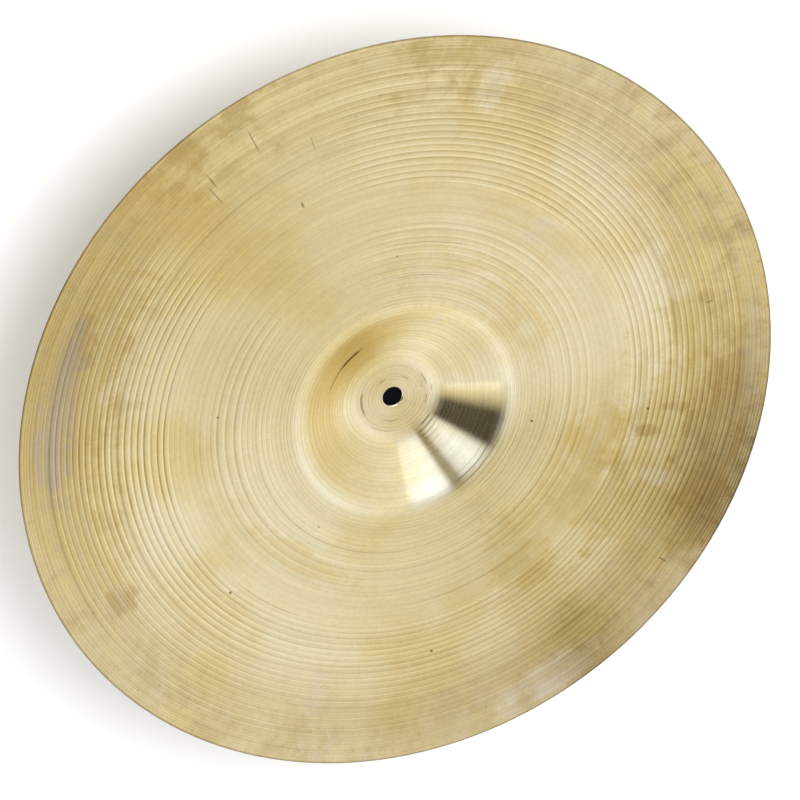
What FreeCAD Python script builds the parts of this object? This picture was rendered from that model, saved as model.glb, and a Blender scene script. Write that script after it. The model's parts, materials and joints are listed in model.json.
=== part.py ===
import FreeCAD, Part
import math
import os
import Sketcher

# Crash cymbal, 18 inches across: one sheet of cymbal bronze, turned about its axis.
# A domed bell stands on a shallow bow, the bow turns down faster towards the rim, and
# the stand hole goes through the crown of the bell. The sheet is thickest at the bell
# and thinnest at the rim. Units are millimetres. The origin is the centre of the rim
# plane, and +Z is the axis, with the bell up.

NODE = "cymbal"

# Alias, size, and what it measures. Radii and heights are those of the underside.
SIZES = [
    ("rim_diameter", 457.2, "outside diameter"),
    ("hole_diameter", 12.7, "stand hole"),
    ("crown_height", 46.5, "the bell's crown, above the rim plane"),
    ("crown_radius", 400.0, "nearly flat crown of the bell"),
    ("crown_diameter", 40.0, "where the crown ends and the shoulder begins"),
    ("shoulder_radius", 30.0, "turn from the crown into the flank"),
    ("flank_radius", 600.0, "nearly straight flank of the bell"),
    ("foot_radius", 28.0, "hollow turn from the flank into the bow"),
    ("bell_diameter", 146.0, "where the foot ends and the bow begins"),
    ("bow_radius", 1500.0, "inner bow"),
    ("bow_top_radius", 1436.0, "top side of the inner bow, rounder because the sheet tapers"),
    ("turn_diameter", 340.0, "where the bow begins to turn down faster"),
    ("turn_height", 15.0, "the bow at the turn, above the rim plane"),
    ("bell_thickness", 1.4, "sheet at the bell"),
    ("rim_thickness", 0.8, "sheet at the rim"),
    ("edge_round", 0.15, "eased corners of the rim and of the stand hole"),
]

# How the sketcher numbers an arc's points, and its own two axes.
START, END, CENTRE = 1, 2, 3
X_AXIS, Z_AXIS = -1, -2
ORIGIN = (X_AXIS, START)


def make_sheet(doc):
    """Put every driving dimension in a spreadsheet, in a cell with an alias."""
    sheet = doc.addObject("Spreadsheet::Sheet", "sizes")
    for row, (alias, size, meaning) in enumerate(SIZES, start=1):
        sheet.set(f"A{row}", alias)
        sheet.set(f"B{row}", str(size))
        sheet.set(f"C{row}", meaning)
        sheet.setAlias(f"B{row}", alias)
    doc.recompute()
    return sheet


def new_sketch(body, name, role):
    """Start a sketch on one of the body's own origin planes, such as XZ_Plane."""
    plane = next(item for item in body.Origin.OriginFeatures if item.Role == role)
    sketch = body.newObject("Sketcher::SketchObject", name)
    sketch.AttachmentSupport = (plane, [""])
    sketch.MapMode = "FlatFace"
    return sketch


def bind(sketch, name, expression, kind, *geometry):
    """Add a constraint whose size the spreadsheet drives."""
    size = float(sketch.evalExpression(expression))
    index = sketch.addConstraint(Sketcher.Constraint(kind, *geometry, size))
    sketch.renameConstraint(index, name)
    sketch.setExpression("Constraints." + name, expression)


def relate(sketch, kind, *geometry):
    """Add a constraint that has no size."""
    sketch.addConstraint(Sketcher.Constraint(kind, *geometry))


def between(start, end, distance):
    """Return the point that lies a distance from start, towards end."""
    share = distance / math.dist(start, end)
    return tuple(a + (b - a) * share for a, b in zip(start, end))


def meet(first, first_reach, second, second_reach):
    """Return the lower of the two points at those distances from two centres."""
    gap = math.dist(first, second)
    along = (first_reach ** 2 - second_reach ** 2 + gap ** 2) / (2 * gap)
    aside = math.sqrt(first_reach ** 2 - along ** 2)
    base_x, base_z = between(first, second, along)
    down_x, down_z = (second[1] - first[1]) / gap, (first[0] - second[0]) / gap
    return base_x + aside * down_x, base_z + aside * down_z


def under_circles(sheet):
    """Return (centre, radius) of the underside's crown, shoulder, flank, foot and bow."""
    crown = (0, sheet.crown_height - sheet.crown_radius)
    crown_end = (sheet.crown_diameter / 2,
                 crown[1] + math.sqrt(sheet.crown_radius ** 2 - sheet.crown_diameter ** 2 / 4))
    shoulder = between(crown_end, crown, sheet.shoulder_radius)
    bow = (0, sheet.turn_height - math.sqrt(sheet.bow_radius ** 2 - sheet.turn_diameter ** 2 / 4))
    bow_start = (sheet.bell_diameter / 2,
                 bow[1] + math.sqrt(sheet.bow_radius ** 2 - sheet.bell_diameter ** 2 / 4))
    foot = between(bow, bow_start, sheet.bow_radius + sheet.foot_radius)
    flank = meet(shoulder, sheet.flank_radius - sheet.shoulder_radius,
                 foot, sheet.flank_radius + sheet.foot_radius)
    return ((crown, sheet.crown_radius), (shoulder, sheet.shoulder_radius),
            (flank, sheet.flank_radius), (foot, sheet.foot_radius), (bow, sheet.bow_radius))


def top_circles(sheet, under):
    """Return the same for the top: the bell is offset by its thickness, the bow is rounder."""
    (crown, _), (shoulder, _), (flank, _), (foot, _), _ = under
    sheet_up = sheet.bell_thickness
    foot_radius = sheet.foot_radius - sheet_up
    reach = sheet.bow_top_radius + foot_radius
    bow = (0, foot[1] - math.sqrt(reach ** 2 - foot[0] ** 2))
    return ((crown, sheet.crown_radius + sheet_up), (shoulder, sheet.shoulder_radius + sheet_up),
            (flank, sheet.flank_radius + sheet_up), (foot, foot_radius), (bow, sheet.bow_top_radius))


def add_arc(sketch, centre, first, last):
    """Add the arc about centre that turns counterclockwise from first to last."""
    spokes = [(x - centre[0], z - centre[1]) for x, z in (first, last)]
    angles = [math.atan2(z, x) % math.tau for x, z in spokes]
    circle = Part.Circle(FreeCAD.Vector(*centre, 0), FreeCAD.Vector(0, 0, 1), math.hypot(*spokes[0]))
    return sketch.addGeometry(Part.ArcOfCircle(circle, *angles), False)


def add_side(sketch, circles, turn_x, rim):
    """Add one side of the sheet, from the axis to the rim, as six tangent arcs.

    Crown and bow are centred on the axis. The edge arc leaves the bow at the turn and
    ends at the rim. The arcs' numbers are returned, from the crown outwards.
    """
    (crown, crown_radius), (shoulder, _), (flank, flank_radius), (foot, _), (bow, bow_radius) = circles
    crown_end = between(crown, shoulder, crown_radius)
    flank_start = between(flank, shoulder, flank_radius)
    flank_end = between(flank, foot, flank_radius)
    bow_start = between(bow, foot, bow_radius)
    turn = (turn_x, bow[1] + math.sqrt(bow_radius ** 2 - turn_x ** 2))
    inward = between((0, 0), (bow[0] - turn[0], bow[1] - turn[1]), 1)
    chord = (rim[0] - turn[0], rim[1] - turn[1])
    edge_radius = math.hypot(*chord) ** 2 / (2 * (inward[0] * chord[0] + inward[1] * chord[1]))
    edge = between(turn, bow, edge_radius)

    crown_arc = add_arc(sketch, crown, crown_end, (0, crown[1] + crown_radius))
    shoulder_arc = add_arc(sketch, shoulder, flank_start, crown_end)
    flank_arc = add_arc(sketch, flank, flank_end, flank_start)
    foot_arc = add_arc(sketch, foot, flank_end, bow_start)
    bow_arc = add_arc(sketch, bow, turn, bow_start)
    edge_arc = add_arc(sketch, edge, rim, turn)

    relate(sketch, "PointOnObject", crown_arc, CENTRE, Z_AXIS)
    relate(sketch, "PointOnObject", crown_arc, END, Z_AXIS)
    relate(sketch, "PointOnObject", bow_arc, CENTRE, Z_AXIS)
    relate(sketch, "Tangent", crown_arc, START, shoulder_arc, END)
    relate(sketch, "Tangent", shoulder_arc, START, flank_arc, END)
    relate(sketch, "Tangent", flank_arc, START, foot_arc, START)
    relate(sketch, "Tangent", foot_arc, END, bow_arc, END)
    relate(sketch, "Tangent", bow_arc, START, edge_arc, END)
    return crown_arc, shoulder_arc, flank_arc, foot_arc, bow_arc, edge_arc


def add_line(sketch, low_arc, low_end, high_arc, high_end):
    """Close the section with a line between two arcs' ends."""
    low = sketch.getPoint(low_arc, low_end)
    high = sketch.getPoint(high_arc, high_end)
    line = sketch.addGeometry(Part.LineSegment(low, high), False)
    relate(sketch, "Coincident", line, START, low_arc, low_end)
    relate(sketch, "Coincident", line, END, high_arc, high_end)
    return line


def draw_section(sketch, sheet):
    """Draw half of the cymbal's section, and drive its sizes from the spreadsheet."""
    turn_x = sheet.turn_diameter / 2
    rim_x = sheet.rim_diameter / 2
    circles = under_circles(sheet)
    under = add_side(sketch, circles, turn_x, (rim_x, 0))
    top = add_side(sketch, top_circles(sheet, circles), turn_x, (rim_x, sheet.rim_thickness))
    crown, shoulder, flank, foot, bow, edge = under
    top_crown, top_shoulder, top_flank, top_foot, top_bow, top_edge = top
    add_line(sketch, crown, END, top_crown, END)
    rim_line = add_line(sketch, edge, START, top_edge, START)

    relate(sketch, "PointOnObject", edge, START, X_AXIS)
    bind(sketch, "rim", "sizes.rim_diameter / 2", "DistanceX", *ORIGIN, edge, START)
    bind(sketch, "turn", "sizes.turn_diameter / 2", "DistanceX", *ORIGIN, bow, START)
    bind(sketch, "turn_height", "sizes.turn_height", "DistanceY", *ORIGIN, bow, START)
    bind(sketch, "bell", "sizes.bell_diameter / 2", "DistanceX", *ORIGIN, bow, END)
    bind(sketch, "crown", "sizes.crown_diameter / 2", "DistanceX", *ORIGIN, crown, START)
    bind(sketch, "crown_height", "sizes.crown_height", "DistanceY", *ORIGIN, crown, END)
    bind(sketch, "crown_radius", "sizes.crown_radius", "Radius", crown)
    bind(sketch, "shoulder_radius", "sizes.shoulder_radius", "Radius", shoulder)
    bind(sketch, "flank_radius", "sizes.flank_radius", "Radius", flank)
    bind(sketch, "foot_radius", "sizes.foot_radius", "Radius", foot)
    bind(sketch, "bow_radius", "sizes.bow_radius", "Radius", bow)

    for under_arc, top_arc in ((shoulder, top_shoulder), (flank, top_flank), (foot, top_foot)):
        relate(sketch, "Coincident", under_arc, CENTRE, top_arc, CENTRE)
    relate(sketch, "Vertical", rim_line)
    relate(sketch, "Vertical", bow, START, top_bow, START)
    bind(sketch, "bell_sheet", "sizes.bell_thickness", "DistanceY", crown, END, top_crown, END)
    bind(sketch, "rim_sheet", "sizes.rim_thickness", "DistanceY", edge, START, top_edge, START)
    bind(sketch, "top_crown", "sizes.crown_radius + sizes.bell_thickness", "Radius", top_crown)
    bind(sketch, "top_bow", "sizes.bow_top_radius", "Radius", top_bow)


def circular_edges(shape, radius, slack):
    """Name the edges that circle the axis at about a radius."""
    names = []
    for number, edge in enumerate(shape.Edges, start=1):
        if edge.Curve.TypeId == "Part::GeomCircle" and abs(edge.Curve.Radius - radius) < slack:
            names.append(f"Edge{number}")
    return names


def make_cymbal(doc, sheet):
    """Turn the section, pierce the stand hole, and ease the four sharp edges."""
    body = doc.addObject("PartDesign::Body", NODE)
    body.Label = NODE

    section = new_sketch(body, "half_section", "XZ_Plane")
    draw_section(section, sheet)
    turned = body.newObject("PartDesign::Revolution", "turned_sheet")
    turned.Profile = section
    turned.ReferenceAxis = (section, ["V_Axis"])
    turned.Angle = 360
    section.Visibility = False
    doc.recompute()

    hole_circle = new_sketch(body, "hole_circle", "XY_Plane")
    circle = Part.Circle(FreeCAD.Vector(), FreeCAD.Vector(0, 0, 1), sheet.hole_diameter / 2)
    ring = hole_circle.addGeometry(circle, False)
    relate(hole_circle, "Coincident", ring, CENTRE, *ORIGIN)
    bind(hole_circle, "hole", "sizes.hole_diameter", "Diameter", ring)
    hole = body.newObject("PartDesign::Pocket", "stand_hole")
    hole.Profile = hole_circle
    hole.Type = "ThroughAll"
    hole.Reversed = True
    hole_circle.Visibility = False
    doc.recompute()

    eased = body.newObject("PartDesign::Fillet", "eased_edges")
    sharp = circular_edges(hole.Shape, sheet.rim_diameter / 2, sheet.edge_round)
    sharp += circular_edges(hole.Shape, sheet.hole_diameter / 2, sheet.edge_round)
    eased.Base = (hole, sharp)
    eased.setExpression("Radius", "sizes.edge_round")
    body.Tip = eased
    body.Placement = FreeCAD.Placement()
    doc.recompute()
    return body


def check(doc, sheet, body):
    """Stop if a feature failed, a sketch can still move, or the hole cut nothing."""
    failed = [item.Label for item in doc.Objects if {"Invalid", "Error"} & set(item.State)]
    if failed:
        raise RuntimeError("these objects failed: " + ", ".join(failed))
    for sketch in doc.findObjects("Sketcher::SketchObject"):
        if not sketch.FullyConstrained:
            raise RuntimeError(sketch.Label + " is not fully constrained")
    if body.Shape.isNull() or not body.Shape.isValid() or len(body.Shape.Solids) != 1:
        raise RuntimeError(body.Label + " is not one valid solid")
    plug = math.pi * sheet.hole_diameter ** 2 / 4 * sheet.bell_thickness
    cut = doc.getObject("turned_sheet").Shape.Volume - doc.getObject("stand_hole").Shape.Volume
    if not 0.9 * plug < cut < 1.1 * plug:
        raise RuntimeError(f"the stand hole cut {cut:.1f} mm3, not about {plug:.1f} mm3")


def main():
    doc = FreeCAD.newDocument("crash_cymbal")
    sheet = make_sheet(doc)
    cymbal = make_cymbal(doc, sheet)
    check(doc, sheet, cymbal)
    os.makedirs("parts", exist_ok=True)
    cymbal.Shape.exportStep(f"parts/{cymbal.Label}.step")
    box = cymbal.Shape.optimalBoundingBox(False, False)
    print(f"{cymbal.Label}: {box.XLength:.2f} x {box.YLength:.2f} x {box.ZLength:.2f} mm, "
          f"bottom at {box.ZMin:.3f}, volume {cymbal.Shape.Volume / 1000:.1f} cm3")


main()
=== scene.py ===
import json
import math
import random
from types import SimpleNamespace

import bpy
import numpy as np
from mathutils import Matrix, Vector


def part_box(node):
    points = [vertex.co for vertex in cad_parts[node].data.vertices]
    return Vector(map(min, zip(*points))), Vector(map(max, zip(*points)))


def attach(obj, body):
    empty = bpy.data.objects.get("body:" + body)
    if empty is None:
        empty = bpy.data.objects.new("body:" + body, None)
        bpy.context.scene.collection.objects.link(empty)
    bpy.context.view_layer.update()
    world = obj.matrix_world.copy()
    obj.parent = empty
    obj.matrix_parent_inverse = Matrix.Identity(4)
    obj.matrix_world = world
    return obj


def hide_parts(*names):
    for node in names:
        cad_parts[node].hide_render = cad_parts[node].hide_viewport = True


# Crash cymbal, in metres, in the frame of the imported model: +Z is the axis, bell up, and
# the rim lies at z = 0. The camera looks up at the hollow underside.

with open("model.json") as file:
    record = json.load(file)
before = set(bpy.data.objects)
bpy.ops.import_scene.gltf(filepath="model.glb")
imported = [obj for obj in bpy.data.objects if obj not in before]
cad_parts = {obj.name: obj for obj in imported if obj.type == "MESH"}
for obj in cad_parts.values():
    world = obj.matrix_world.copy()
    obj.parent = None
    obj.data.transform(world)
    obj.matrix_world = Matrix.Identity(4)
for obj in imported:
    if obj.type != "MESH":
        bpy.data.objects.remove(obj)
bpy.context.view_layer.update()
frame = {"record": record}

NODE = "cymbal"
MM = 0.001


# ---------------------------------------------------------------- the sheet's section

HOLE_RADIUS = frame["record"]["mounts"][0]["dims"]["r_mm"] * MM
RIM_RADIUS = max(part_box(NODE)[1])
CROWN_HEIGHT = 46.5 * MM
CROWN_RADIUS = 400 * MM       # radius of curvature, as the other radii of the section are
CROWN_REACH = 20 * MM         # how far from the axis the crown extends
SHOULDER_RADIUS = 30 * MM
FLANK_RADIUS = 600 * MM
FOOT_RADIUS = 28 * MM
BELL_REACH = 73 * MM
BOW_RADIUS = 1500 * MM
BOW_TOP_RADIUS = 1436 * MM
TURN_REACH = 170 * MM
TURN_HEIGHT = 15 * MM
BELL_SHEET = 1.4 * MM
RIM_SHEET = 0.8 * MM


def between(start, end, distance):
    """Return the point that lies a distance from start, towards end."""
    share = distance / math.dist(start, end)
    return tuple(a + (b - a) * share for a, b in zip(start, end))


def meet(first, first_reach, second, second_reach):
    """Return the lower of the two points at those distances from two centres."""
    gap = math.dist(first, second)
    along = (first_reach ** 2 - second_reach ** 2 + gap ** 2) / (2 * gap)
    aside = math.sqrt(first_reach ** 2 - along ** 2)
    base_x, base_z = between(first, second, along)
    down_x, down_z = (second[1] - first[1]) / gap, (first[0] - second[0]) / gap
    return base_x + aside * down_x, base_z + aside * down_z


def on_circle(centre, radius, x):
    """Return the upper point of a circle at x."""
    return x, centre[1] + math.sqrt(radius ** 2 - (x - centre[0]) ** 2)


def bell_and_bow():
    """Return the centres of the underside's crown, shoulder, flank, foot and bow arcs."""
    crown = (0, CROWN_HEIGHT - CROWN_RADIUS)
    shoulder = between(on_circle(crown, CROWN_RADIUS, CROWN_REACH), crown, SHOULDER_RADIUS)
    bow = (0, TURN_HEIGHT - math.sqrt(BOW_RADIUS ** 2 - TURN_REACH ** 2))
    foot = between(bow, on_circle(bow, BOW_RADIUS, BELL_REACH), BOW_RADIUS + FOOT_RADIUS)
    flank = meet(shoulder, FLANK_RADIUS - SHOULDER_RADIUS, foot, FLANK_RADIUS + FOOT_RADIUS)
    return crown, shoulder, flank, foot, bow


def side_arcs(thickness, bow_radius, rim):
    """Return one side's arcs, each as (outer end, centre, radius, 1 if it domes or -1).

    thickness is the sheet's on the bell for the top side, and 0 for the underside.
    """
    crown, shoulder, flank, foot, _ = bell_and_bow()
    radii = (CROWN_RADIUS + thickness, SHOULDER_RADIUS + thickness, FLANK_RADIUS + thickness)
    foot_radius = FOOT_RADIUS - thickness
    bow = (0, foot[1] - math.sqrt((bow_radius + foot_radius) ** 2 - foot[0] ** 2))
    turn = on_circle(bow, bow_radius, TURN_REACH)
    inward = between((0, 0), (bow[0] - turn[0], bow[1] - turn[1]), 1)
    chord = (rim[0] - turn[0], rim[1] - turn[1])
    edge_radius = math.hypot(*chord) ** 2 / (2 * (inward[0] * chord[0] + inward[1] * chord[1]))
    return [
        (between(crown, shoulder, radii[0])[0], crown, radii[0], 1),
        (between(flank, shoulder, radii[2])[0], shoulder, radii[1], 1),
        (between(flank, foot, radii[2])[0], flank, radii[2], 1),
        (between(bow, foot, bow_radius)[0], foot, foot_radius, -1),
        (TURN_REACH, bow, bow_radius, 1),
        (rim[0], between(turn, bow, edge_radius), edge_radius, 1),
    ]


def height(arcs, reach):
    """Return the height of a side at a distance from the axis."""
    _, centre, radius, dome = next((arc for arc in arcs if reach <= arc[0]), arcs[-1])
    return centre[1] + dome * math.sqrt(radius ** 2 - (reach - centre[0]) ** 2)


UNDER_ARCS = side_arcs(0, BOW_RADIUS, (RIM_RADIUS, 0))
TOP_ARCS = side_arcs(BELL_SHEET, BOW_TOP_RADIUS, (RIM_RADIUS, RIM_SHEET))


# ---------------------------------------------------------------- lathe grooves

EDGE_EASE = 0.2 * MM
DEEPEST = 0.22 * MM

# Points across a groove: share of its width, and tone, which is below 0 for a painted highlight
# on the ridge and above 0 for painted shade, with dirt, against the next ridge.
GROOVE_POINTS = ((0, -0.8), (0.2, -0.1), (0.5, 0), (0.8, 0.8))

# Each zone of grooves, from the hole outwards: its outer end, their mean width and how much
# that varies, and their mean depth.
UNDER_ZONES = [
    (24 * MM, 2.1 * MM, 0.28, 0.055 * MM),
    (68 * MM, 2.4 * MM, 0.28, 0.035 * MM),
    (100 * MM, 2.7 * MM, 0.30, 0.070 * MM),
    (118 * MM, 4.2 * MM, 0.30, 0.100 * MM),
    (142 * MM, 3.4 * MM, 0.30, 0.025 * MM),
    (196 * MM, 3.8 * MM, 0.09, 0.200 * MM),
    (212 * MM, 3.5 * MM, 0.20, 0.180 * MM),
    (RIM_RADIUS, 2.1 * MM, 0.28, 0.090 * MM),
]
TOP_ZONES = [
    (24 * MM, 2.0 * MM, 0.28, 0.030 * MM),
    (68 * MM, 2.2 * MM, 0.28, 0.050 * MM),
    (222 * MM, 3.4 * MM, 0.20, 0.100 * MM),
    (RIM_RADIUS, 1.8 * MM, 0.28, 0.020 * MM),
]


def groove_samples(zones, dice):
    """Return (distance from the axis, cut depth, relief_shading_and_dirt, ridge_darkness) along one
    side.

    relief_shading_and_dirt is the painted highlight and shade across a groove, with dirt in its
    shaded part, stronger where it is deep, and ridge_darkness is how dark a ridge's line is.
    """
    samples = []
    start = HOLE_RADIUS + EDGE_EASE
    last = RIM_RADIUS - EDGE_EASE
    for zone_end, width, spread, depth in zones:
        while start < min(zone_end, last - width / 2):
            groove = width * dice.uniform(1 - spread, 1 + spread)
            cut = depth * dice.uniform(0.35, 1.1)
            ridge_darkness = max(0, dice.uniform(-2.2, 1))
            for share, tone in GROOVE_POINTS:
                scoop = 1 - (2 * share - 1) ** 2
                relief_shading_and_dirt = tone * (cut / DEEPEST) ** 0.7
                ridge_line = ridge_darkness if share == 0 else 0
                samples.append((start + groove * share, cut * scoop, relief_shading_and_dirt, ridge_line))
            start += groove
    return [sample for sample in samples if sample[0] < last - EDGE_EASE]


def eased_edge(reach, inward, low, high):
    """Return the (distance, height) points of a square edge with broken corners."""
    corner = EDGE_EASE * (1 - math.sqrt(0.5))
    steps = ((EDGE_EASE, 0), (corner, corner), (0, EDGE_EASE))
    lower = [(reach + inward * aside, low + up) for aside, up in steps]
    upper = [(reach + inward * aside, high - up) for aside, up in reversed(steps)]
    return lower + upper


def section_loop():
    """Return the closed section as arrays: distance, height, relief_shading_and_dirt,
    ridge_darkness, and side (1 = top).
    """
    dice = random.Random(18)
    under = [(reach, height(UNDER_ARCS, reach) + cut, relief_shading_and_dirt, ridge_darkness, 0)
             for reach, cut, relief_shading_and_dirt, ridge_darkness in groove_samples(UNDER_ZONES, dice)]
    top = [(reach, height(TOP_ARCS, reach) - cut, relief_shading_and_dirt, ridge_darkness, 1)
           for reach, cut, relief_shading_and_dirt, ridge_darkness in groove_samples(TOP_ZONES, dice)]
    rim = [(reach, level, 0, 0, 0) for reach, level in eased_edge(RIM_RADIUS, -1, 0, RIM_SHEET)]
    hole = [(reach, level, 0, 0, 0) for reach, level in eased_edge(
        HOLE_RADIUS, 1, height(UNDER_ARCS, HOLE_RADIUS), height(TOP_ARCS, HOLE_RADIUS))]
    return np.array(under + rim + top[::-1] + hole[::-1]).T


# ---------------------------------------------------------------- the cymbal's mesh

SEGMENTS = 156
HAMMERED = (84 * MM, 205 * MM)    # where the hammer marks begin and end
MARKS_APART = (20 * MM, 26 * MM)  # outwards, and around


def hammering(x, y):
    """Return how far the hammer has pushed the sheet down at each point: shallow round marks."""
    dice = random.Random(44)
    sunk = np.zeros_like(x)
    reach, last = HAMMERED
    while reach < last:
        count = round(math.tau * reach / MARKS_APART[1])
        for mark in range(count):
            angle = math.tau * (mark + dice.uniform(-0.3, 0.3)) / count
            away = reach + dice.uniform(-4, 4) * MM
            size = dice.uniform(8, 12) * MM
            depth = dice.uniform(0.01, 0.05) * MM
            gap = (x - away * math.cos(angle)) ** 2 + (y - away * math.sin(angle)) ** 2
            sunk += depth * np.exp(-gap / size ** 2)
        reach += MARKS_APART[0]
    return sunk


def warp(x, y):
    """Return the sheet's slight waviness, which grows towards the rim."""
    angle = np.arctan2(y, x)
    share = (np.hypot(x, y) / RIM_RADIUS) ** 2
    return share * (0.18 * MM * np.cos(2 * angle + 0.6) + 0.09 * MM * np.cos(3 * angle + 2.1))


def make_cymbal():
    """Turn the section about the axis, then hammer and warp it."""
    reach, level, relief_shading_and_dirt, ridge_darkness, side = section_loop()
    rings = len(reach)
    angles = np.arange(SEGMENTS) * math.tau / SEGMENTS
    x = np.outer(reach, np.cos(angles))
    y = np.outer(reach, np.sin(angles))
    z = level[:, None] - hammering(x, y) + warp(x, y)
    points = np.stack([x, y, z], axis=-1).reshape(-1, 3)

    ring = np.arange(rings)[:, None]
    turn = np.arange(SEGMENTS)[None, :]
    next_ring, next_turn = (ring + 1) % rings, (turn + 1) % SEGMENTS
    corners = (ring * SEGMENTS + turn, ring * SEGMENTS + next_turn,
               next_ring * SEGMENTS + next_turn, next_ring * SEGMENTS + turn)
    faces = np.stack(np.broadcast_arrays(*corners), axis=-1).reshape(-1, 4)

    mesh = bpy.data.meshes.new("cymbal_sheet")
    mesh.from_pydata(points.tolist(), [], faces.tolist())
    for name, values in (("relief_shading_and_dirt", relief_shading_and_dirt), ("ridge_darkness", ridge_darkness)):
        layer = mesh.attributes.new(name, "FLOAT", "POINT")
        layer.data.foreach_set("value", np.repeat(values, SEGMENTS))
    top_face = np.repeat(side * np.roll(side, -1), SEGMENTS).astype(int)
    mesh.polygons.foreach_set("material_index", top_face)
    mesh.polygons.foreach_set("use_smooth", np.ones(len(faces), bool))
    mesh.validate()
    mesh.update()
    cymbal = bpy.data.objects.new("cymbal_sheet", mesh)
    bpy.context.collection.objects.link(cymbal)
    return cymbal


# ---------------------------------------------------------------- node helpers

def add_node(tree, kind, inputs=None, **settings):
    """Add a node, set its properties, and link or fill its inputs."""
    made = tree.nodes.new(kind)
    for name, value in settings.items():
        setattr(made, name, value)
    for key, value in (inputs or {}).items():
        if isinstance(value, bpy.types.NodeSocket):
            tree.links.new(value, made.inputs[key])
        else:
            made.inputs[key].default_value = value
    return made


def calc(tree, operation, *values):
    """Add a Math node and return its result."""
    return add_node(tree, "ShaderNodeMath", dict(enumerate(values)), operation=operation).outputs[0]


def plus(tree, first, second):
    """Add two values."""
    return calc(tree, "ADD", first, second)


def times(tree, first, second):
    """Multiply two values."""
    return calc(tree, "MULTIPLY", first, second)


def gap_from(tree, value, middle):
    """Return how far a value is from another, whichever is larger."""
    return calc(tree, "ABSOLUTE", calc(tree, "SUBTRACT", value, middle))


def swing(tree, value, most):
    """Stretch a value of 0 to 1 to between -most and most."""
    return calc(tree, "MULTIPLY_ADD", value, 2 * most, -most)


def pack_vector(tree, x, y, z=0.0):
    """Make a vector of three values."""
    return add_node(tree, "ShaderNodeCombineXYZ", {"X": x, "Y": y, "Z": z}).outputs[0]


def flat_length(tree, x, y):
    """Return the length of the vector (x, y)."""
    flat = pack_vector(tree, x, y)
    return add_node(tree, "ShaderNodeVectorMath", {0: flat}, operation="LENGTH").outputs["Value"]


def add_vectors(tree, first, second):
    """Add two vectors."""
    return add_node(tree, "ShaderNodeVectorMath", {0: first, 1: second}, operation="ADD").outputs[0]


def position(tree):
    """Return the point in the object, its x and y, and its distance from the axis."""
    place = add_node(tree, "ShaderNodeTexCoord").outputs["Object"]
    x, y, _ = add_node(tree, "ShaderNodeSeparateXYZ", {0: place}).outputs
    return place, x, y, flat_length(tree, x, y)


def ramp(tree, value, low, high, result_low=0.0, result_high=1.0):
    """Map a value from one range to another, smoothly and clamped."""
    inputs = {"Value": value, "From Min": low, "From Max": high,
              "To Min": result_low, "To Max": result_high}
    return add_node(tree, "ShaderNodeMapRange", inputs, interpolation_type="SMOOTHSTEP").outputs[0]


def mix_colour(tree, share, first, second, blend="MIX"):
    """Mix two colours."""
    mixed = add_node(tree, "ShaderNodeMix", {0: share, 6: first, 7: second},
                     data_type="RGBA", blend_type=blend)
    return mixed.outputs[2]


def colour_ramp(tree, value, stops):
    """Colour a value by (position, colour) stops."""
    node = add_node(tree, "ShaderNodeValToRGB", {0: value})
    band = node.color_ramp
    for place, colour in stops[1:-1]:
        band.elements.new(place)
    for element, (place, colour) in zip(band.elements, stops):
        element.position = place
        element.color = (*colour, 1)
    return node.outputs[0]


def noise(tree, vector, scale, detail=3.0, roughness=0.5):
    """Add a noise texture and return its value, 0 to 1."""
    inputs = {"Vector": vector, "Scale": scale, "Detail": detail, "Roughness": roughness}
    return add_node(tree, "ShaderNodeTexNoise", inputs).outputs[0]


# ---------------------------------------------------------------- bronze

PALE_GOLD = (0.91, 0.87, 0.68, 1)
DEEP_GOLD = (0.80, 0.65, 0.31, 1)
# Painted shade inside the bell, on the side that faces away from the light.
AMBER_SHADE = (0.77, 0.60, 0.26, 1)
OLIVE = (0.66, 0.54, 0.25, 1)
BROWN = (0.40, 0.26, 0.10, 1)
LILAC = (0.50, 0.45, 0.42, 1)
MILK = (0.80, 0.78, 0.74, 1)
CREAM = (0.95, 0.94, 0.84, 1)
# Dark colour of dirt, specks and scratches, also used for painted shade lines in the grooves.
DIRT_AND_SHADE = (0.16, 0.10, 0.04, 1)
GROOVE_TINT = (0.85, 1.0, 1.35)    # how much a groove darkens red, green and blue

# The painted shade of the underside's grooves is faint around this bearing, in degrees, where the
# reflected light hides the grooves.
FAINT_SHADE_BEARING = -86

# The amber band inside the bell, painted shade on the side of the bell's inside that faces away
# from the light: the bearing of its middle, in degrees, and its distance from the axis.
AMBER_SHADE_BEARING = 228
AMBER_SHADE_REACH = 49 * MM

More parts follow.
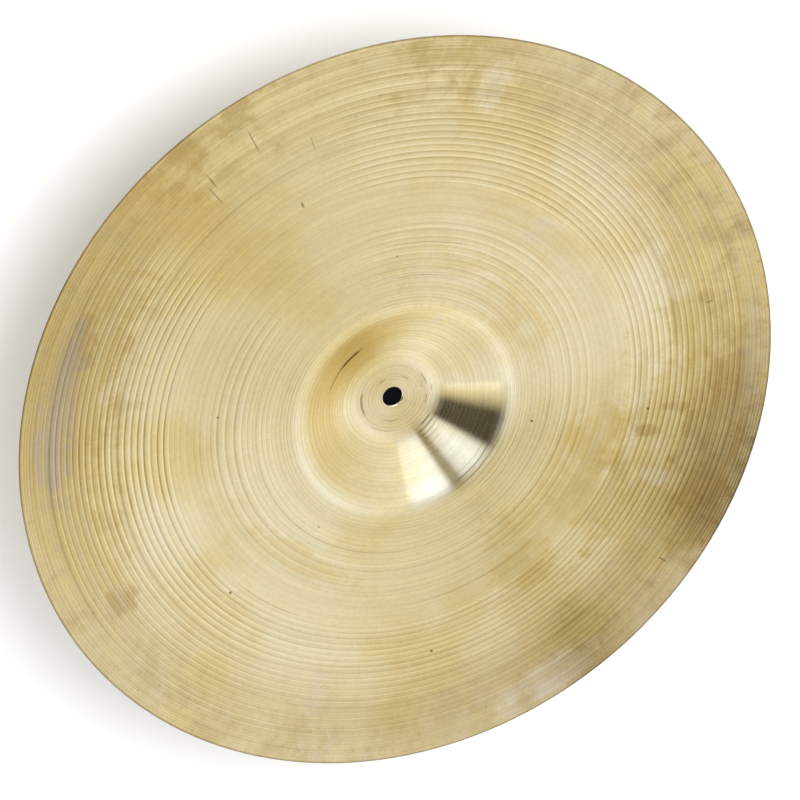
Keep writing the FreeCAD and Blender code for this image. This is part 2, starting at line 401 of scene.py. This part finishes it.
# Stains of the underside: bearing in degrees, distance from the axis, half their width
# outwards and half their length around, colour, and strength.
STAINS = [
    (4, 88 * MM, 15 * MM, 24 * MM, DEEP_GOLD, 0.6),
    (165, 110 * MM, 10 * MM, 34 * MM, DEEP_GOLD, 0.5),
    (52, 128 * MM, 24 * MM, 22 * MM, DEEP_GOLD, 0.7),
    (91, 140 * MM, 15 * MM, 22 * MM, DEEP_GOLD, 0.6),
    (262, 178 * MM, 34 * MM, 34 * MM, DEEP_GOLD, 0.25),
    (94, 165 * MM, 75 * MM, 26 * MM, OLIVE, 0.35),
    (50, 182 * MM, 40 * MM, 75 * MM, OLIVE, 0.55),
    (67, 165 * MM, 50 * MM, 30 * MM, OLIVE, 0.40),
    (222, 205 * MM, 34 * MM, 120 * MM, OLIVE, 0.6),
    (20, 203 * MM, 30 * MM, 110 * MM, OLIVE, 0.65),
    (292, 205 * MM, 30 * MM, 80 * MM, PALE_GOLD, 0.7),
    (322, 80 * MM, 14 * MM, 58 * MM, CREAM, 0.55),
    (334, 118 * MM, 22 * MM, 50 * MM, CREAM, 0.4),
    (14, 198 * MM, 10 * MM, 22 * MM, DEEP_GOLD, 0.6),
    (36, 204 * MM, 12 * MM, 20 * MM, BROWN, 0.5),
    (230, 200 * MM, 30 * MM, 80 * MM, BROWN, 0.16),
    (48, 205 * MM, 20 * MM, 56 * MM, BROWN, 0.55),
    (62, 212 * MM, 14 * MM, 26 * MM, BROWN, 0.3),
    (48, 158 * MM, 12 * MM, 4 * MM, BROWN, 0.4),
    (42.5, 176 * MM, 9 * MM, 4 * MM, BROWN, 0.4),
    (91, 188 * MM, 12 * MM, 14 * MM, BROWN, 0.2),
    (190, 196 * MM, 11 * MM, 9 * MM, BROWN, 0.4),
    (239, 203 * MM, 9 * MM, 18 * MM, BROWN, 0.35),
    (20, 193 * MM, 6 * MM, 5 * MM, BROWN, 0.45),
    (226, 208 * MM, 11 * MM, 60 * MM, LILAC, 0.75),
    (32, 220 * MM, 8 * MM, 40 * MM, LILAC, 0.4),
    (99, 216 * MM, 12 * MM, 34 * MM, MILK, 0.5),
    (145, 192 * MM, 20 * MM, 6 * MM, MILK, 0.3),
    (58, 176 * MM, 9 * MM, 5 * MM, MILK, 0.55),
    (318, 200 * MM, 12 * MM, 6 * MM, MILK, 0.3),
    (342, 128 * MM, 11 * MM, 6 * MM, MILK, 0.35),
]

# Scratches across the grooves, as the stains but without a colour.
SCRATCHES = [
    (269, 188 * MM, 7.0 * MM, 0.40 * MM, 0.55),
    (270, 196 * MM, 5.0 * MM, 0.45 * MM, 0.6),
    (278.5, 201 * MM, 8.0 * MM, 0.40 * MM, 0.6),
    (287, 183 * MM, 5.0 * MM, 0.35 * MM, 0.4),
    (281, 152 * MM, 2.0 * MM, 0.80 * MM, 0.6),
    (21, 195 * MM, 2.5 * MM, 0.60 * MM, 0.5),
    (72, 210 * MM, 3.0 * MM, 0.70 * MM, 0.6),
]

# Scratches around the axis, and dark groove lines painted as shade where the bell's reflected fans
# show the grooves (the runs from 27.2 to 38 mm and from 59.5 to 78.8 mm): distance from the axis,
# their middle and half their length in degrees, half their width, and strength.
ARCS = [
    (46.0 * MM, -96, 13, 1.20 * MM, 1.0),
    (45.8 * MM, -106, 26, 0.45 * MM, 0.9),
    (20.0 * MM, -150, 28, 1.00 * MM, 0.55),
    (13.0 * MM, -87, 14, 0.35 * MM, 0.8),
    (21.5 * MM, 47, 12, 0.35 * MM, 0.8),
    # Painted shade from here to 38 mm: dark groove lines inside a bright fan that the bell
    # reflects.
    (27.2 * MM, 77, 13, 0.50 * MM, 0.9),
    (30.0 * MM, 80, 16, 0.60 * MM, 0.6),
    (32.6 * MM, 82, 15, 0.50 * MM, 0.4),
    (35.2 * MM, 84, 13, 0.45 * MM, 0.35),
    (38.0 * MM, 85, 12, 0.40 * MM, 0.3),
    # Painted shade from here to 78.8 mm: dark groove lines past the end of the bell's dark
    # reflected fan.
    (59.5 * MM, 76, 20, 0.50 * MM, 0.35),
    (62.4 * MM, 78, 22, 0.65 * MM, 0.5),
    (65.6 * MM, 76, 26, 0.65 * MM, 0.5),
    (69.0 * MM, 74, 24, 0.50 * MM, 0.35),
    (72.2 * MM, 70, 26, 0.60 * MM, 0.35),
    (75.4 * MM, 68, 24, 0.60 * MM, 0.30),
    (78.8 * MM, 66, 22, 0.55 * MM, 0.25),
    (14.2 * MM, -22, 16, 0.30 * MM, 0.6),
    (21.8 * MM, 10, 16, 0.45 * MM, 0.6),
    (19.0 * MM, 18, 12, 0.35 * MM, 0.5),
    (24.2 * MM, 28, 9, 0.40 * MM, 0.4),
    (16.0 * MM, 130, 24, 0.35 * MM, 0.5),
    (22.4 * MM, 145, 26, 0.35 * MM, 0.4),
    (86.8 * MM, -50, 14, 0.30 * MM, 0.5),
    (107.0 * MM, -48, 18, 0.30 * MM, 0.5),
    (140.2 * MM, 165, 12, 0.30 * MM, 0.5),
]


def add_stain(tree, colour, at, ragged, cover, stain):
    """Lay one soft-edged stain, bent around the axis, over a colour as far as cover lets it."""
    bearing, away, width, length, tint, strength = stain
    turned = calc(tree, "SUBTRACT", at.angle, math.radians(bearing))
    sideways = times(tree, calc(tree, "WRAP", turned, math.pi, -math.pi), away / length)
    outwards = calc(tree, "MULTIPLY_ADD", at.reach, 1 / width, -away / width)
    gap = flat_length(tree, outwards, sideways)
    spread = ramp(tree, plus(tree, gap, ragged), 1.3, 0.5, 0.0, strength)
    return mix_colour(tree, times(tree, spread, cover), colour, tint)


def arc_mask(tree, at):
    """Return where the scratches and the painted shade lines around the axis lie, 0 to 1."""
    wavy_reach = plus(tree, at.reach, swing(tree, at.mottle, 0.8 * MM))
    total = None
    for distance, middle, half, width, strength in ARCS:
        off = gap_from(tree, wavy_reach, distance)
        along = gap_from(tree, at.angle, math.radians(middle))
        end = math.radians(half)
        mask = times(tree, ramp(tree, off, width, 0.4 * width),
                     ramp(tree, along, end, 0.4 * end, 0.0, strength))
        total = mask if total is None else calc(tree, "MAXIMUM", total, mask)
    return total


def surface_fields(tree, seed):
    """Return the values that the bronze's colour and finish are made from."""
    place, x, y, reach = position(tree)
    shifted = add_vectors(tree, place, (seed, seed, 0))

    def ring_noise(pitch, drift, detail):
        """Return noise in rings about a pitch apart that changes slowly around the axis."""
        ring = pack_vector(tree, calc(tree, "MULTIPLY_ADD", reach, 1 / pitch, seed),
                           times(tree, x, drift), times(tree, y, drift))
        return noise(tree, ring, 1.0, detail, 0.6)

    def attribute(name):
        """Return a value that the mesh carries."""
        return add_node(tree, "ShaderNodeAttribute", attribute_name=name).outputs["Fac"]

    across, along = calc(tree, "DIVIDE", x, reach), calc(tree, "DIVIDE", y, reach)
    radial = pack_vector(tree, calc(tree, "MULTIPLY_ADD", across, 20.0, seed),
                         times(tree, along, 20.0), times(tree, reach, 55.0))
    return SimpleNamespace(
        x=x, y=y, reach=reach, angle=calc(tree, "ARCTAN2", y, x), shifted=shifted,
        relief_shading_and_dirt=attribute("relief_shading_and_dirt"), ridge_darkness=attribute("ridge_darkness"),
        fine=ring_noise(0.8 * MM, 3.5, 1.0),
        broad=ring_noise(5.0 * MM, 5.0, 1.0),
        streak=ring_noise(7.0 * MM, 32.0, 4.0),
        cloud=noise(tree, shifted, 14.0, 4.0, 0.55),
        mottle=noise(tree, shifted, 55.0, 5.0, 0.65),
        fleck=noise(tree, shifted, 190.0, 4.0, 0.6),
        grain=noise(tree, shifted, 420.0, 2.0, 0.6),
        smear=noise(tree, radial, 1.0, 5.0, 0.65))


def metal_colour(tree, at):
    """Return the metal's colour before its stains, and how dulled it is."""
    colour = mix_colour(tree, ramp(tree, at.cloud, 0.42, 0.68, 0.0, 0.6), PALE_GOLD, DEEP_GOLD)
    colour = mix_colour(tree, ramp(tree, at.mottle, 0.60, 0.72, 0.0, 0.35), colour, MILK)
    tarnish = ramp(tree, at.reach, 165 * MM, 205 * MM, 0.0, 0.5)
    colour = mix_colour(tree, tarnish, colour, OLIVE)
    facing = calc(tree, "DIVIDE", calc(tree, "MULTIPLY_ADD", at.y, 0.7, at.x), at.reach)
    worn = ramp(tree, facing, 0.2, 1.2, 0.10, 0.40)
    patches = plus(tree, ramp(tree, at.mottle, 0.35, 0.65, 0.06, 0.26),
                   ramp(tree, at.smear, 0.42, 0.68, 0.0, worn))
    dulled = times(tree, ramp(tree, at.reach, 155 * MM, 222 * MM), patches)
    colour = mix_colour(tree, dulled, colour, BROWN)
    bare = times(tree, ramp(tree, at.reach, 195 * MM, 215 * MM),
                 ramp(tree, at.smear, 0.48, 0.32, 0.0, 0.25))
    return mix_colour(tree, bare, colour, MILK), dulled


def amber_shade_share(tree, at, ragged):
    """Return how far the amber painted shade inside the bell covers the metal, on the side that
    faces away from the light.
    """
    turn = math.radians(AMBER_SHADE_BEARING)
    toward = calc(tree, "DIVIDE", calc(
        tree, "MULTIPLY_ADD", at.x, math.cos(turn), times(tree, at.y, math.sin(turn))), at.reach)
    return times(tree, ramp(tree, gap_from(tree, at.reach, AMBER_SHADE_REACH), 20 * MM, 6 * MM), ramp(
        tree, calc(tree, "MULTIPLY_ADD", ragged, 0.15, toward), -0.1, 0.8, 0.0, 0.8))


def groove_tone(tree, at, shaded_by_bearing):
    """Return the colour that the grooves multiply the metal's by: a painted highlight on each ridge
    and painted shade, with dirt, in the groove.

    shaded_by_bearing makes that painted shade faint in one sector and stronger in two others, as
    the reflected light shows the grooves.
    """
    contrast = ramp(tree, at.cloud, 0.3, 0.7, 0.34, 0.50)
    if shaded_by_bearing:
        # Painted shade that changes around the axis: faint in one sector, stronger in two others,
        # as the reflected light shows the grooves.
        off = gap_from(tree, at.angle, math.radians(FAINT_SHADE_BEARING))
        clear = ramp(tree, off, math.radians(12), math.radians(25), 0.30, 1.3)
        far_fade = ramp(tree, off, math.radians(60), math.radians(90), 1.0, 0.7)
        twice = calc(tree, "SINE", times(tree, at.angle, 2.0))
        uneven = calc(tree, "MULTIPLY_ADD", twice, 0.28, 1.0)
        contrast = times(tree, times(tree, contrast, uneven), times(tree, clear, far_fade))
    darker = times(tree, at.relief_shading_and_dirt, contrast)
    return pack_vector(tree, *(
        calc(tree, "MULTIPLY_ADD", darker, -strength, 1.0) for strength in GROOVE_TINT))


def dark_marks(tree, at, scratched_and_shaded):
    """Return where specks, the edge of the rim and, if asked for, scratches and painted shade lines
    in the grooves lie, 0 to 1.
    """
    cells = add_node(tree, "ShaderNodeTexVoronoi", {"Vector": at.shifted, "Scale": 45.0}).outputs
    pick = add_node(tree, "ShaderNodeSeparateXYZ", {0: cells["Color"]}).outputs[0]
    marks = times(tree, ramp(tree, pick, 0.62, 0.66),
                  ramp(tree, cells["Distance"], 0.055, 0.025, 0.0, 0.8))
    if scratched_and_shaded:
        marks = calc(tree, "MAXIMUM", marks, arc_mask(tree, at))
        for *place, strength in SCRATCHES:
            marks = add_stain(tree, marks, at, 0.0, 1.0, (*place, (1, 1, 1, 1), strength))
    edge = ramp(tree, at.reach, 227.4 * MM, 228.4 * MM, 0.0, 0.6)
    return calc(tree, "MAXIMUM", marks, edge)


def bronze(name, seed, stains, scratched_and_shaded):
    """Make lathed bronze: turned lines with painted highlight and shade across the grooves, gold
    patches, amber painted shade inside the bell, tarnish towards the rim, and specks.
    """
    material = bpy.data.materials.new(name)
    material.use_nodes = True
    tree = material.node_tree
    tree.nodes.clear()
    at = surface_fields(tree, seed)

    colour, dulled = metal_colour(tree, at)
    ragged = plus(tree, swing(tree, at.mottle, 1.2), plus(
        tree, swing(tree, at.streak, 0.8), swing(tree, at.smear, 0.6)))
    if scratched_and_shaded:
        # Painted shade: an amber band on the side of the bell's inside that faces away from the
        # light.
        colour = mix_colour(tree, amber_shade_share(tree, at, ragged), colour, AMBER_SHADE)
    colour = mix_colour(tree, ramp(tree, at.reach, 32 * MM, 20 * MM, 0.0, 0.5), colour, CREAM)
    cover = ramp(tree, at.broad, 0.38, 0.58, 0.55, 1.1)
    for stain in stains:
        colour = add_stain(tree, colour, at, ragged, cover, stain)

    shade = plus(tree, ramp(tree, at.fine, 0.3, 0.7, 0.97, 1.03), plus(
        tree, ramp(tree, at.broad, 0.35, 0.65, -0.03, 0.03),
        ramp(tree, at.grain, 0.3, 0.7, -0.03, 0.03)))
    colour = mix_colour(tree, 1.0, colour, shade, "MULTIPLY")
    # Painted highlight on the groove ridges and painted shade, with dirt, in the grooves.
    colour = mix_colour(tree, 1.0, colour, groove_tone(tree, at, scratched_and_shaded), "MULTIPLY")
    # A dark line along some ridges.
    ridge = times(tree, at.ridge_darkness, ramp(tree, at.broad, 0.45, 0.60, 0.0, 0.5))
    colour = mix_colour(tree, ridge, colour, DIRT_AND_SHADE)
    flecks = times(tree, ramp(tree, at.fleck, 0.60, 0.74),
                   calc(tree, "MULTIPLY_ADD", dulled, 0.7, 0.05))
    colour = mix_colour(tree, flecks, colour, DIRT_AND_SHADE)
    marks = dark_marks(tree, at, scratched_and_shaded)
    # Specks, scratches, the rim's edge and, on the underside, painted shade lines in the grooves.
    colour = mix_colour(tree, marks, colour, DIRT_AND_SHADE)

    turned = ramp(tree, at.fine, 0.3, 0.7, 0.235, 0.205)
    rough = times(tree, plus(tree, turned, times(tree, dulled, 0.15)),
                  ramp(tree, at.reach, 66 * MM, 90 * MM, 0.8, 1.0))
    level = calc(tree, "SUBTRACT", plus(tree, at.fine, times(tree, at.grain, 0.15)), marks)
    bump = add_node(tree, "ShaderNodeBump", {
        "Strength": 0.5, "Distance": 0.04 * MM, "Height": level})
    tangent = add_node(tree, "ShaderNodeTangent", direction_type="RADIAL", axis="Z")
    shader = add_node(tree, "ShaderNodeBsdfPrincipled", {
        "Base Color": colour, "Metallic": 1.0, "Roughness": rough, "Anisotropic": 1.0,
        "Anisotropic Rotation": 0.25, "Normal": bump.outputs[0], "Tangent": tangent.outputs[0]})
    add_node(tree, "ShaderNodeOutputMaterial", {"Surface": shader.outputs[0]})
    return material


# ---------------------------------------------------------------- stage, light and camera

STAGE_WHITE = (0.92, 0.92, 0.92, 1)
STAGE_SHADE = (0.01, 0.01, 0.015, 1)
STAGE_HALF = 40.0    # half of a stage plane's side


def stage_material(name, shade_reach):
    """Matt white that shows only its front, so that a plane hides nothing from behind.

    It is dark within shade_reach of the axis, where the cymbal keeps the light off.
    """
    material = bpy.data.materials.new(name)
    material.use_nodes = True
    tree = material.node_tree
    tree.nodes.clear()
    *_, reach = position(tree)
    lit = ramp(tree, reach, 0.4 * shade_reach, shade_reach)
    colour = mix_colour(tree, lit, STAGE_SHADE, STAGE_WHITE)
    back = add_node(tree, "ShaderNodeNewGeometry").outputs["Backfacing"]
    white = add_node(tree, "ShaderNodeBsdfDiffuse", {"Color": colour}).outputs[0]
    clear = add_node(tree, "ShaderNodeBsdfTransparent").outputs[0]
    mixed = add_node(tree, "ShaderNodeMixShader", {0: back, 1: white, 2: clear}).outputs[0]
    add_node(tree, "ShaderNodeOutputMaterial", {"Surface": mixed})
    return material


def stage_plane(name, level, up, shade_reach):
    """Add a large plane that faces up or down. Only the camera sees it."""
    square = ((-1, -1), (1, -1), (1, 1), (-1, 1))
    corners = [(x * STAGE_HALF, y * STAGE_HALF, level) for x, y in square]
    mesh = bpy.data.meshes.new(name)
    mesh.from_pydata(corners if up else corners[::-1], [], [(0, 1, 2, 3)])
    mesh.materials.append(stage_material(name + "_white", shade_reach))
    plane = bpy.data.objects.new(name, mesh)
    bpy.context.collection.objects.link(plane)
    plane.visible_diffuse = False
    plane.visible_glossy = False
    plane.visible_transmission = False
    plane.visible_shadow = False


def softbox(name, place, size, power, colour, target=(0, 0, 0)):
    """Add a rectangular area light that faces a point."""
    lamp = bpy.data.lights.new(name, "AREA")
    lamp.shape = "RECTANGLE"
    lamp.size, lamp.size_y = size
    lamp.energy = power
    lamp.color = colour
    light = bpy.data.objects.new(name, lamp)
    light.location = place
    light.visible_glossy = False
    light.rotation_euler = (Vector(target) - Vector(place)).to_track_quat("-Z", "Y").to_euler()
    bpy.context.collection.objects.link(light)


# The far flank of the bell mirrors what stands beside and behind the camera. CARDS gives it
# by the bearing, in degrees around the bell, at which the flank shows it.
CARDS = [
    (27, (1.00, 0.95, 0.80)),
    (37, (0.66, 0.56, 0.34)),
    (47, (0.035, 0.028, 0.012)),
    (65, (0.035, 0.028, 0.012)),
    (70, (0.82, 0.82, 0.80)),
    (77, (0.98, 1.01, 1.08)),
    (87, (0.76, 0.76, 0.78)),
    (91, (0.30, 0.27, 0.19)),
    (95, (0.30, 0.27, 0.19)),
    (98.5, (1.02, 1.04, 1.14)),
    (106, (1.16, 1.21, 1.38)),
    (120, (1.10, 1.15, 1.30)),
    (123, (1.00, 0.95, 0.80)),
]
BRIGHTEST = 2.0

# Panels above: direction, cosines of the angles at which one ends and is full, and colour.
PANELS = [
    ((0.55, -0.45, 0.70), 0.82, 0.90, (1.20, 1.20, 1.18)),
    ((-0.62, 0.38, 0.68), 0.86, 0.92, (1.10, 1.10, 1.12)),
    ((0.25, 0.80, 0.55), 0.92, 0.95, (0.95, 0.95, 0.95)),
    ((-0.45, -0.55, 0.70), 0.88, 0.93, (0.10, 0.09, 0.06)),
    ((0.70, 0.40, 0.59), 0.91, 0.95, (0.14, 0.13, 0.10)),
]
HORIZON = (0.80, 0.80, 0.79)
ABOVE = (0.52, 0.47, 0.36)        # between the panels
VIEW_WAY = (0, -0.545, -0.839)    # from the cymbal, the way for which CARDS is laid out


def make_world():
    """Surround the cymbal with soft light, brighter to both sides than before and behind.

    Only reflections show it. Everything else sees a plain pale sky.
    """
    world = bpy.data.worlds.new("studio")
    world.use_nodes = True
    tree = world.node_tree
    tree.nodes.clear()
    way = add_node(tree, "ShaderNodeTexCoord").outputs["Generated"]
    x, y, z = add_node(tree, "ShaderNodeSeparateXYZ", {0: way}).outputs
    side = calc(tree, "ABSOLUTE", x)
    dim = mix_colour(tree, ramp(tree, y, 0.5, 1.0), (0.70, 0.60, 0.38, 1), (1.00, 0.90, 0.64, 1))
    lit = mix_colour(
        tree, ramp(tree, side, 0.45, 0.75), (1.24, 1.26, 1.34, 1), (1.02, 1.02, 1.04, 1))
    room = mix_colour(tree, ramp(tree, side, 0.03, 0.45), dim, lit)

    # A surface that faces half way between the two mirrors one of them towards the other.
    half = add_vectors(tree, way, VIEW_WAY)
    half_x, half_y, half_z = add_node(tree, "ShaderNodeSeparateXYZ", {0: half}).outputs
    bearing = calc(tree, "ARCTAN2", times(tree, half_y, -1.0), times(tree, half_x, -1.0))
    slope = calc(tree, "DIVIDE", flat_length(tree, half_x, half_y),
                 calc(tree, "ABSOLUTE", half_z))
    room = mix_colour(tree, ramp(tree, slope, 0.14, 0.30), room, mix_colour(
        tree, 1.0, room, (0.84, 0.80, 0.68, 1), "MULTIPLY"))
    stops = [(degrees / 180, [part / BRIGHTEST for part in colour]) for degrees, colour in CARDS]
    cards = colour_ramp(tree, calc(tree, "DIVIDE", bearing, math.pi), stops)
    gain = ramp(tree, slope, 0.36, 0.56, 0.7 * BRIGHTEST, 1.25 * BRIGHTEST)
    cards = mix_colour(tree, 1.0, cards, gain, "MULTIPLY")
    first, last = math.radians(CARDS[0][0]), math.radians(CARDS[-1][0])
    inside = times(tree, calc(tree, "GREATER_THAN", bearing, first),
                   calc(tree, "LESS_THAN", bearing, last))
    shown = times(tree, inside, ramp(tree, slope, 0.24, 0.42))
    below = mix_colour(tree, shown, room, cards)

    above = (*ABOVE, 1)
    for direction, end, full, tint in PANELS:
        facing = add_node(tree, "ShaderNodeVectorMath", {0: way, 1: Vector(direction).normalized()},
                          operation="DOT_PRODUCT").outputs["Value"]
        above = mix_colour(tree, ramp(tree, facing, end, full), above, (*tint, 1))
    colour = mix_colour(tree, calc(tree, "GREATER_THAN", z, 0.0), below, above)
    level = ramp(tree, calc(tree, "ABSOLUTE", z), 0.14, 0.04)
    colour = mix_colour(tree, level, colour, (*HORIZON, 1))
    plain = ramp(tree, z, -0.1, 0.1, 1.0, 0.76)
    mirrored = add_node(tree, "ShaderNodeLightPath").outputs["Is Glossy Ray"]
    colour = mix_colour(tree, mirrored, plain, colour)
    background = add_node(tree, "ShaderNodeBackground", {"Color": colour})
    add_node(tree, "ShaderNodeOutputWorld", {"Surface": background.outputs[0]})
    bpy.context.scene.world = world


TILT = math.radians(33.0)      # between the line of sight and the cymbal's axis
ROLL = math.radians(-39.95)    # how far the camera is turned about its line of sight
CAMERA_PLACE = (0.002, -0.579, -0.853)
LENS = 81


def make_camera():
    """Look up at the underside, TILT away from the axis."""
    data = bpy.data.cameras.new("camera")
    data.lens = LENS
    camera = bpy.data.objects.new("camera", data)
    right = Vector((1, 0, 0))
    up = Vector((0, -math.cos(TILT), math.sin(TILT)))
    turned = Matrix((right, up, right.cross(up))).transposed().to_4x4()
    camera.matrix_world = Matrix.Translation(CAMERA_PLACE) @ turned @ Matrix.Rotation(ROLL, 4, "Z")
    bpy.context.collection.objects.link(camera)
    bpy.context.scene.camera = camera


make_world()
make_camera()
stage_plane("floor", -0.5 * MM, True, 0.05)
stage_plane("backdrop", 60 * MM, False, 0.12)
softbox("fill_below", (0.9, -0.3, -1.5), (1.2, 1.2), 16, (0.97, 0.98, 1.0))
softbox("key_above", (0.8, -0.7, 1.4), (0.7, 0.7), 9, (1.0, 0.98, 0.95))

cymbal = make_cymbal()
cymbal.data.materials.append(bronze("bronze_under", 3.7, STAINS, True))
cymbal.data.materials.append(bronze("bronze_top", 11.2, (), False))
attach(cymbal, "root")
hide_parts(NODE)
bpy.context.scene.view_settings.view_transform = "Standard"
